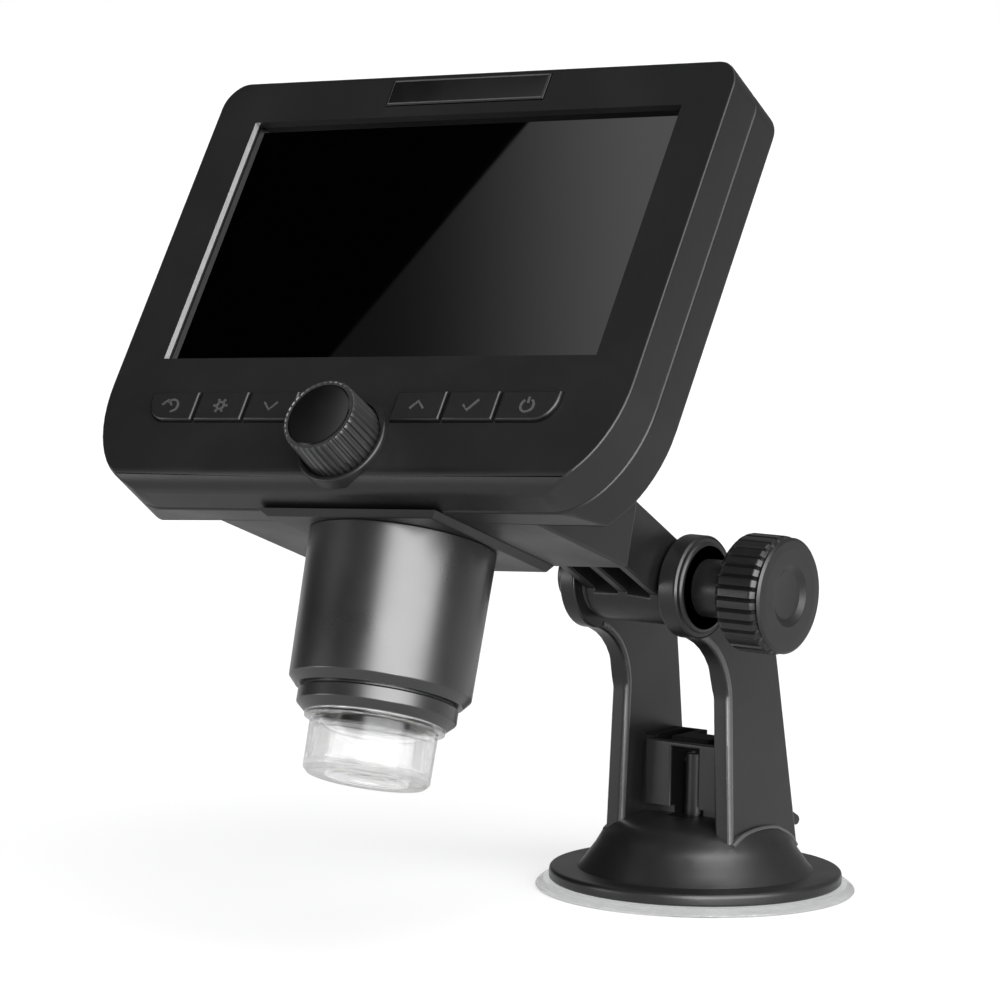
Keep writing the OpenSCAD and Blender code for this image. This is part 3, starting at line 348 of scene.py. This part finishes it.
def soften(bm, width, segments=3, angle=30, pick=None, outside=True, wide_pick=None, wide_width=0.9):
    """Rounds the outside corners of a mesh in metres; the corners that the wide-bevel test picks get a wider
    bevel and a second material, which paints a highlight where it is lighter.
    """
    bmesh.ops.remove_doubles(bm, verts=bm.verts, dist=2e-6)
    bmesh.ops.dissolve_limit(bm, angle_limit=math.radians(0.5), verts=bm.verts, edges=bm.edges,
                             use_dissolve_boundaries=False, delimit=set())
    bm.normal_update()
    tree = BVHTree.FromBMesh(bm)
    chosen = []
    for edge in bm.edges:
        if len(edge.link_faces) != 2 or not edge.is_convex:
            continue
        if edge.calc_face_angle(0) < math.radians(angle):
            continue
        middle = (edge.verts[0].co + edge.verts[1].co) / 2
        if pick and not pick(middle):
            continue
        out = (edge.link_faces[0].normal + edge.link_faces[1].normal).normalized()
        if outside and tree.ray_cast(middle + out * CLEARANCE, out)[0] is not None:
            continue
        chosen.append(edge)
    if wide_pick:
        widened = [e for e in chosen if wide_pick((e.verts[0].co + e.verts[1].co) / 2)]
        chosen = [e for e in chosen if e not in widened]
        made = bmesh.ops.bevel(bm, geom=widened, offset=wide_width * MM, offset_type="OFFSET",
                               segments=WIDE_SEGMENTS, profile=0.5, affect="EDGES",
                               clamp_overlap=False, loop_slide=True)
        for face in made["faces"]:
            face.material_index = 1
        chosen = [e for e in chosen if e.is_valid]
    bmesh.ops.bevel(bm, geom=chosen, offset=width * MM, offset_type="OFFSET", segments=segments,
                    profile=0.5, affect="EDGES", clamp_overlap=False, loop_slide=True)
    bmesh.ops.dissolve_degenerate(bm, edges=bm.edges, dist=1e-7)
    return bm


def dress(node, width, material, body, segments=3, pick=None, outside=True, angle=30, wide_pick=None,
          wide_width=0.9, edge=None):
    """A mould-rounded piece in the place of a CAD node; edge is the material of its wide-bevelled corners, a
    painted highlight where it is lighter.
    """
    bm = bmesh.new()
    bm.from_mesh(NODES[node].data)
    soften(bm, width, segments, angle, pick, outside, wide_pick, wide_width)
    return finish_piece(node + "_form", bm, material, body, (node,), second=edge)


def turned(name, points, matrix, material, body, stands_for=(), around=128, steps=5, wave=None, sharp=32):
    bm = to_world(lathe(points, around, steps, wave), matrix)
    return finish_piece(name, bm, material, body, stands_for, sharp)


def give(material, *names):
    for n in names:
        data = NODES[n].data
        data.materials.clear()
        data.materials.append(material)


# ---------------------------------------------------------------- camera
camera_data = bpy.data.cameras.new("camera")
camera_data.sensor_width = 36
camera_data.lens = 169.302
camera_data.clip_start = 0.05
camera = bpy.data.objects.new("camera", camera_data)
camera.location = (0.519734, -0.803693, 0.183416)
camera.rotation_euler = [math.radians(a) for a in (83.80708, -0.94769, 35.47977)]
bpy.context.scene.collection.objects.link(camera)
bpy.context.scene.camera = camera


# ---------------------------------------------------------------- head
BUTTONS = ("play_button", "mode_button", "down_button", "up_button", "ok_button", "power_button")
TO_FACE = (FACE @ Matrix.Scale(MM, 4)).inverted()


# Ranges on the slab's face, in mm: low x, high x, low z, high z and the depth they reach
KEY_ROW = (-49, 50, -42.6, -34.2, 3)
PLATE_RECESS = (-19, 18, 29.6, 36.4, 1)
WINDOW = (-48.2, 49, -27.9, 27.9, 2)
WINDOW_LEFT, WINDOW_HALF_H, NEAR = -48.5, 27, 0.2


def within(p, area):
    left, right, bottom, top, depth = area
    return left < p.x < right and bottom < p.z < top and p.y < depth


def away_from_keys(point):
    """Keeps the corners of the key holes, the plate's recess and most of the window square."""
    p = TO_FACE @ point
    return not any(within(p, area) for area in (KEY_ROW, PLATE_RECESS, WINDOW))


def window_left(point):
    """The window's left corner: a wide bevel whose light grey material is a painted highlight."""
    p = TO_FACE @ point
    return abs(p.x - WINDOW_LEFT) < NEAR and abs(p.y) < NEAR and abs(p.z) < WINDOW_HALF_H


dress("front_shell", 0.45, SHELL, "head", pick=away_from_keys, wide_pick=window_left, wide_width=1.3, edge=BEVEL_HIGHLIGHT)
dress("rear_shell", 0.6, SHELL, "head")
dress("battery_cover", 0.35, SHELL, "head")
dress("mount_plate", 0.25, SHELL, "head")
dress("label_plate", 0.18, GLOSS, "head")
dress("screen_glass", 0.1, SCREEN, "head", segments=2)
for name in BUTTONS:
    dress(name, 0.5, BUTTON, name, segments=4, pick=lambda p: (TO_FACE @ p).y < 0)


def stroke(line, width, closed=False):
    """A flat ribbon outline along a line, for a raised sign."""
    pts = [Vector(p) for p in line]
    n = len(pts)
    left, right = [], []
    for i, p in enumerate(pts):
        before = pts[i - 1] if i or closed else p
        after = pts[(i + 1) % n] if i < n - 1 or closed else p
        side = (after - before).normalized()
        side = Vector((-side.y, side.x)) * width / 2
        left.append(p + side)
        right.append(p - side)
    return left, right


def ribbon(bm, line, width, low, high, closed=False):
    left, right = stroke(line, width, closed)
    n = len(left)
    rows = []
    for pts, z in ((left, low), (left, high), (right, high), (right, low)):
        rows.append([bm.verts.new((p.x, p.y, z)) for p in pts])
    for i in range(n if closed else n - 1):
        j = (i + 1) % n
        for k in range(4):
            a, b = rows[k], rows[(k + 1) % 4]
            bm.faces.new((a[i], a[j], b[j], b[i]))
    if not closed:
        for i in (0, n - 1):
            bm.faces.new([row[i] for row in rows])


def arc_line(cx, cy, r, a0, a1, n=20):
    out = []
    for i in range(n + 1):
        a = math.radians(a0 + (a1 - a0) * i / n)
        out.append((cx + r * math.cos(a), cy + r * math.sin(a)))
    return out


SIGNS = {
    "play_button": [(arc_line(0.2, 0, 1.3, -90, 150), False),
                    ([(-2.2, 0.2), (-1.0, 1.3), (0.1, 0.1)], False)],
    "mode_button": [(arc_line(0, 0, 0.75, 0, 342), True)]
    + [([(0.95 * math.cos(a), 0.95 * math.sin(a)), (1.6 * math.cos(a), 1.6 * math.sin(a))], False)
       for a in [math.pi * k / 3 for k in range(6)]],
    "down_button": [([(-1.5, 0.7), (0, -0.9), (1.5, 0.7)], False)],
    "up_button": [([(-1.5, -0.7), (0, 0.9), (1.5, -0.7)], False)],
    "ok_button": [([(-1.5, 0.1), (-0.4, -1.1), (1.6, 1.2)], False)],
    "power_button": [(arc_line(0, -0.1, 1.35, 122, 418), False), ([(0, 0.4), (0, 1.7)], False)],
}
# A thin line in the pale edge material frames the bare plate above the screen: a painted highlight along the
# plate's edge
PLATE_X, PLATE_Z, PLATE_FRONT, PLATE_W, PLATE_H = -0.6, 32.95, -0.35, 35.8, 5.9
PLATE_MARGIN, LINE_W = 0.35, 0.3
frame_line = bmesh.new()
corners = [(sx * (PLATE_W / 2 - PLATE_MARGIN), sy * (PLATE_H / 2 - PLATE_MARGIN))
           for sx, sy in ((-1, -1), (1, -1), (1, 1), (-1, 1))]
ribbon(frame_line, corners, LINE_W, -0.1, 0.04, True)
to_world(frame_line, FACE @ shift(PLATE_X, PLATE_FRONT, PLATE_Z) @ turn("X", 90))
finish_piece("label_frame", frame_line, HIGHLIGHT_EDGE, "head", ())

# Signs sit on the buttons' fronts: sunk by 0.05 and proud by 0.14. Their pale edge material paints a
# highlight on the raised strokes
BUTTON_FRONT, BUTTON_ROW, SIGN_W = -0.9, -38.6, 0.45
for name in BUTTONS:
    low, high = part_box(name)
    middle = TO_FACE @ ((low + high) / 2)
    bm = bmesh.new()
    for line, closed in SIGNS[name]:
        ribbon(bm, line[:-1] if closed else line, SIGN_W, -0.05, 0.14, closed)
    place = FACE @ shift(middle.x, BUTTON_FRONT, BUTTON_ROW) @ turn("X", 90)
    finish_piece(name + "_sign", to_world(bm, place), HIGHLIGHT_EDGE, name, ())


def ridges(count, depth, flat):
    """A ring of flat-topped ridges: the radius drops by depth between them."""
    def wave(angle):
        c = math.cos(count * angle)
        return -depth * min(1, max(0, (flat - c) / (flat + 0.6)))
    return wave


wheel_wave = ridges(36, 0.42, 0.35)
wheel = turned("focus_wheel_form", [
    (0, -9.0, 0), (6.2, -9.0, 0.15), (6.5, -8.85, 0.1), (6.9, -8.85, 0.1), (7.1, -9.0, 0.1),
    (7.3, -9.0, 0.2), (7.5, -8.5, 0.2), (7.85, 0.4, 0.2), (7.5, 0.6, 0), (2.0, 0.6, 0), (2.0, -6.5, 0),
    (0, -6.5, 0)], WHEEL, WHEEL_GRIP, "focus_wheel", ("focus_wheel",), around=576, steps=4,
    wave=lambda a, r, z: wheel_wave(a) if r > 7.22 and z < 0.45 else 0)
# Its dished end is smooth and glossy
DISH_Z, DISH_R = -8.8, 6.6
wheel.data.materials.append(GLOSS)
TO_WHEEL = (WHEEL @ Matrix.Scale(MM, 4)).inverted()
for face in wheel.data.polygons:
    c = TO_WHEEL @ face.center
    if c.z < DISH_Z and math.hypot(c.x, c.y) < DISH_R:
        face.material_index = 1

turned("lens_barrel_form", [
    (15.7, -86.2, 0.3), (17.1, -84.6, 0.5), (17.6, -56.8, 0.25), (15.2, -56.8, 0), (15.2, -53.3, 0),
    (14.2, -53.3, 0), (14.2, -57.8, 0), (15.5, -58.8, 0), (15.5, -66, 0), (6.26, -66, 0), (6.26, -78, 0),
    (7.65, -78, 0), (7.65, -67.6, 0), (15.5, -67.6, 0), (15.5, -82.4, 0), (14.5, -82.4, 0), (14.5, -86.2, 0),
    (15.7, -86.2, 0)], TUBE, BARREL, "head", ("lens_barrel",), around=192)
turned("lens_ring_form", [
    (11.2, -90.6, 0.15), (13.4, -90.8, 0.4), (15.0, -89.3, 0.5), (15.0, -86.75, 0.3), (14.4, -86.5, 0.05),
    (14.4, -83.62, 0), (12.5, -83.62, 0), (12.5, -87.2, 0), (11.2, -87.2, 0), (11.2, -90.6, 0)],
    TUBE, BARREL, "head", ("lens_ring",), around=160)
turned("clear_cap_form", [
    (0, -101.5, 0), (3.6, -101.5, 0.3), (4.4, -101.9, 0.4), (6.6, -102.0, 0.3), (7.1, -101.7, 0.2),
    (7.6, -102.0, 0.3), (11.0, -102.0, 0.6), (11.9, -101.1, 0.7), (12.0, -91.8, 0.3), (13.2, -91.7, 0.25),
    (13.2, -90.86, 0.25), (11.15, -90.86, 0.1), (11.15, -87.42, 0.2), (9.95, -87.42, 0.2),
    (10.7, -100.1, 0.8), (7.4, -100.3, 0.3), (6.9, -100.0, 0.2), (4.6, -100.0, 0.2), (4.1, -100.3, 0.3),
    (0, -100.35, 0)], TUBE, CLEAR, "clear_cap", ("clear_cap",), around=160)

LAMP_COUNT, LAMP_CIRCLE = 8, 9.6
LAMP_LINE = [(0, -85.15, 0), (1.05, -85.15, 0.6), (1.45, -84.4, 0.3), (1.45, -83.6, 0), (0, -83.6, 0)]
lamps = bmesh.new()
for k in range(LAMP_COUNT):
    angle = math.radians(45 * k + 22.5)
    lamp = lathe(LAMP_LINE, 24)
    bmesh.ops.translate(lamp, verts=lamp.verts,
                        vec=(LAMP_CIRCLE * math.cos(angle), LAMP_CIRCLE * math.sin(angle), 0))
    spare = bpy.data.meshes.new("lamp")
    lamp.to_mesh(spare)
    lamp.free()
    lamps.from_mesh(spare)
    bpy.data.meshes.remove(spare)
finish_piece("led_lamps_form", to_world(lamps, TUBE), LAMP, "head", ("led_lamps",))

# ---------------------------------------------------------------- arm, hinge and stand
dress("tilt_arm", 0.5, STAND, "arm")
lock_wave = ridges(28, 0.5, 0.2)
turned("swivel_lock_ring_form", [
    (9.05, -56.7, 0.2), (11.9, -56.7, 0.3), (12.4, -56.2, 0.3), (12.4, -51.8, 0.3), (11.6, -51.3, 0.3),
    (9.05, -51.3, 0.2), (9.05, -56.7, 0)], ARM @ turn("X", -90), STAND, "swivel_lock_ring",
    ("swivel_lock_ring",), around=336, wave=lambda a, r, z: lock_wave(a) if r > 12.1 else 0)


def leg_corner(point):
    """The upright front corners of the legs."""
    return abs(point.y + 0.0111) < 0.0003 and 0.012 < point.z < 0.045 and abs(point.x) > 0.0098


# The lever's slot, the cored-out pockets and the top of the web get a darker, duller, rougher plastic:
# painted shade. Their ranges are half the width, front, back, bottom and top
SLOT_ROOM = (3.4, -4.6, 9, 15.5, 30)
WEB_TOP = (10.8, -3.45, 8.9, 25.5, 31.6)
stand = dress("stand_body", 0.5, STAND, "stand", wide_pick=leg_corner, edge=STAND)
stand.data.materials.append(PAINTED_SHADE)
for face in stand.data.polygons:
    c = face.center / MM
    if any(abs(c.x) < half and front < c.y < back and low < c.z < high
           for half, front, back, low, high in (SLOT_ROOM, WEB_TOP)):
        face.material_index = 2

# Rolled beads along the legs' front corners, and the lips where the cone swells past the legs; their pale
# edge material is a painted highlight along them
FOOT_OUT, LEG_OUT, FOOT_IN, LEG_IN, RIM_TOP, KNEE = 15.4, 13.6, 11.8, 10.0, 4.3, 55.2
LEG_FRONT, LEG_BEND, SWEEP = 11.1, 41.2, 14.37
BEAD_R, BEAD_SET, LIP_R = 1.1, 1.15, 0.5
CONE = ((24.4, 4.3), (23.5, 5.2), (20.8, 8.9), (19.4, 11.3), (17.0, 13.5), (14.4, 14.7), (10.0, 15.5),
        (0.0, 15.9))


def lean(low, high, z):
    return low + (high - low) * min(1, (z - RIM_TOP) / (KNEE - RIM_TOP))


def cone_height(r):
    for (r1, z1), (r2, z2) in zip(CONE, CONE[1:]):
        if r2 <= r <= r1:
            return z1 + (z2 - z1) * (r1 - r) / (r1 - r2)
    return CONE[0][1]


front_line = [(-LEG_FRONT, 10.5 + 30.7 * k / 6) for k in range(7)]
for a in range(8, 73, 8):
    turned_by = math.radians(a)
    front_line.append((-LEG_FRONT - SWEEP + SWEEP * math.cos(turned_by),
                       LEG_BEND + SWEEP * math.sin(turned_by)))
trim = bmesh.new()
for side in (-1, 1):
    for outer in (True, False):
        bead = []
        for i, (y, z) in enumerate(front_line):
            a = math.radians(max(0, i - 6) * 8)
            x = lean(FOOT_OUT, LEG_OUT, z) - 0.85 if outer else lean(FOOT_IN, LEG_IN, z) + 0.85
            bead.append((side * x, y + BEAD_SET * math.cos(a), z + BEAD_SET * math.sin(a)))
        rod_along(trim, bead, BEAD_R, 16)
    lip = []
    for k in range(25):
        y = -10.4 + 24.0 * k / 24
        z = cone_height(math.hypot(15.7, y))
        lip.append((side * (lean(FOOT_OUT, LEG_OUT, z) + 0.55), y, z - 0.1))
    rod_along(trim, lip, LIP_R, 12)
finish_piece("stand_trim", to_world(trim, Matrix.Identity(4)), HIGHLIGHT_EDGE, "stand", ())
dress("suction_lever", 0.4, STAND, "suction_lever")


def flutes(count, depth):
    """Rounded grooves that leave broad ridges."""
    def wave(angle):
        c = abs(math.sin(count * angle / 2))
        return -depth * max(0, 1 - c / 0.55) ** 0.6
    return wave


knob_wave = flutes(32, 0.75)
turned("clamp_knob_form", [
    (4.5, 12.55, 0), (5.8, 12.55, 0.3), (5.8, 23.7, 0.3), (10.5, 23.7, 0.7), (11.8, 25.0, 1.1),
    (11.8, 32.4, 1.0), (10.9, 33.4, 0.5), (4.5, 33.4, 0), (4.5, 12.55, 0)], KNOB, GRIP, "clamp_knob",
    ("clamp_knob",), around=480, steps=6, wave=lambda a, r, z: knob_wave(a) if r > 10.95 else 0)
turned("knob_cap_form", [
    (0, 33.4, 0), (10.5, 33.4, 0), (10.5, 33.75, 0), (11.4, 33.8, 0.1), (11.6, 34.0, 0.15), (11.0, 34.5, 0.3),
    (9.2, 34.6, 0.3), (6.1, 34.6, 0.4), (4.7, 33.7, 0.9), (0, 33.55, 0)], KNOB, GRIP, "clamp_knob",
    ("knob_cap",), around=128)
turned("suction_pad_form", [
    (0, 0, 0), (32.7, 0, 0.2), (33.0, 0.4, 0.2), (32.6, 0.9, 0.3), (31.4, 1.68, 0.4), (20.4, 1.7, 0.3),
    (11.0, 2.1, 0.5), (9.4, 5.0, 0.4), (2.8, 5.0, 0), (2.8, 3.9, 0), (6.3, 3.9, 0), (6.3, 1.1, 0),
    (0, 1.1, 0)],
    Matrix.Identity(4), PAD, "stand", ("suction_pad",), around=192)

give(DARK_STEEL, "clamp_washer")
give(STEEL, "shell_screws", "swivel_screw", "hinge_bolt", "focus_shaft", "stem_pin", "lever_pin")
give(STAND, "pad_stem")
give(SHEET, "lcd_frame", "wifi_module", "usb_socket", "card_socket", "battery_contacts")
give(BRASS, "focus_pinion", "knob_insert")
give(GREEN, "main_board", "key_board", "camera_board")
give(BLACK_BOARD, "led_board")
give(CHIP, "processor_chips", "key_switches")
give(LCD, "lcd_panel", "image_sensor")
give(WRAP, "battery")
give(FIBRE, "friction_washers")
give(LENS, "front_lens", "back_lens")
give(SHELL, "lens_carriage")

# ---------------------------------------------------------------- floor, light and air
floor_mat, floor_tree, floor_shader = new_material("floor", (0.28, 0.28, 0.28), 0.8)
floor_tree.links.new(ranged(floor_tree, noise(floor_tree, 8, 3.0), 0.75, 0.85),
                     floor_shader.inputs["Roughness"])
floor_shader.inputs["Specular IOR Level"].default_value = 0.0
floor_shader.inputs["Emission Color"].default_value = (1, 1, 1, 1)
# The floor's glow where it is seen directly or through clear parts, and where it only lights others
GLOW_SEEN, GLOW_CAST = 0.66, 0.32
floor_rays = floor_tree.nodes.new("ShaderNodeLightPath")
floor_sum = floor_tree.nodes.new("ShaderNodeMath")
floor_sum.operation = "ADD"
floor_tree.links.new(floor_rays.outputs["Is Camera Ray"], floor_sum.inputs[0])
floor_tree.links.new(floor_rays.outputs["Is Transmission Ray"], floor_sum.inputs[1])
floor_tree.links.new(ranged(floor_tree, floor_sum.outputs[0], GLOW_CAST, GLOW_SEEN, 0, 1),
                     floor_shader.inputs["Emission Strength"])
bm = bmesh.new()
bmesh.ops.create_grid(bm, x_segments=4, y_segments=4, size=25)
floor = make_object("floor", bm)
floor.data.materials.append(floor_mat)


def softbox(name, place, aim, width, height, power):
    data = bpy.data.lights.new(name, "AREA")
    data.shape = "RECTANGLE"
    data.size = width
    data.size_y = height
    data.energy = power
    obj = bpy.data.objects.new(name, data)
    obj.location = place
    obj.rotation_euler = (Vector(aim) - Vector(place)).to_track_quat("-Z", "Y").to_euler()
    bpy.context.scene.collection.objects.link(obj)


# Two low lights in front of the object, to its left and to its right
softbox("low_left", (-0.42, -0.50, 0.05), (-0.03, -0.14, 0.09), 0.20, 0.20, 0.75)
softbox("low_right", (0.29, -0.36, 0.03), (0.02, -0.02, 0.05), 0.12, 0.05, 0.5)

# The studio round the object is a dark room with soft panels, given by their direction
world = bpy.data.worlds.new("air")
bpy.context.scene.world = world
world.use_nodes = True
air = world.node_tree
background = air.nodes["Background"]
background.inputs["Color"].default_value = (1, 1, 1, 1)
coords = air.nodes.new("ShaderNodeTexCoord")


def towards(azimuth, elevation):
    a, e = math.radians(azimuth), math.radians(elevation)
    return Vector((math.cos(e) * math.cos(a), math.cos(e) * math.sin(a), math.sin(e)))


def along(direction):
    node = air.nodes.new("ShaderNodeVectorMath")
    node.operation = "DOT_PRODUCT"
    node.inputs[1].default_value = direction
    air.links.new(coords.outputs["Generated"], node.inputs[0])
    return node.outputs["Value"]


def combine(operation, first, second):
    node = air.nodes.new("ShaderNodeMath")
    node.operation = operation
    for socket, value in zip(node.inputs, (first, second)):
        if isinstance(value, (int, float)):
            socket.default_value = value
        else:
            air.links.new(value, socket)
    return node.outputs[0]


def step(value, start, stop, low, high):
    out = ranged(air, value, low, high, start, stop)
    out.node.interpolation_type = "SMOOTHSTEP"
    return out


def panel(direction, inside, outside, low, high):
    """A round patch of the sky: high inside one angle from its direction, low outside another."""
    start, stop = (math.cos(math.radians(angle)) for angle in (outside, inside))
    return step(along(direction), start, stop, low, high)


ROOM = 0.33
light = step(along(towards(65, 0)), -0.2, 0.7, ROOM, 0.25)
light = combine("ADD", light, panel(towards(-33, 22), 24, 44, 0, 9.0))
light = combine("ADD", light, panel(towards(0, 82), 8, 22, 0, 5.0))
# A black drape faces the screen, and a pane beyond it ends in a slanting edge
DRAPE = towards(-154, 48)
light = combine("MULTIPLY", light, panel(DRAPE, 22, 62, 1, 0))
light = combine("ADD", light, panel(towards(-130, 2), 4, 17, 0, 2.0))
light = combine("MULTIPLY", light, panel(towards(172, 8), 14, 40, 1, 0.15))
PANE_EDGE = Vector((0.6373, -0.7351, 0.2312))
PANE_RUN = Vector((0.7855, -0.1820, 0.5914))
PANE_TOP = Vector((-0.0369, 0.9413, 0.3355))
pane = combine("POWER", step(along(PANE_RUN), 0, 0.075, 0, 1), 1.6)
pane = combine("ADD", combine("MULTIPLY", pane, 1.3), 0.11)
pane = combine("MULTIPLY", pane, step(along(PANE_EDGE), 0, 0.0006, 0, 1))
pane = combine("MULTIPLY", pane, step(along(PANE_TOP), 0.0306, 0.0312, 1, 0))
pane = combine("MULTIPLY", pane, panel(DRAPE, 9, 13, 0, 1))
light = combine("ADD", light, pane)
air.links.new(light, background.inputs["Strength"])
seen = air.nodes.new("ShaderNodeBackground")
seen.inputs["Color"].default_value = (1, 1, 1, 1)
seen.inputs["Strength"].default_value = 1.0
path = air.nodes.new("ShaderNodeLightPath")
mixer = air.nodes.new("ShaderNodeMixShader")
seen_directly = combine("ADD", path.outputs["Is Camera Ray"], path.outputs["Is Transmission Ray"])
air.links.new(seen_directly, mixer.inputs[0])
air.links.new(background.outputs[0], mixer.inputs[1])
air.links.new(seen.outputs[0], mixer.inputs[2])
air.links.new(mixer.outputs[0], air.nodes["World Output"].inputs["Surface"])

scene = bpy.context.scene
scene.view_settings.view_transform = "Standard"
scene.view_settings.look = "None"
scene.view_settings.exposure = 0
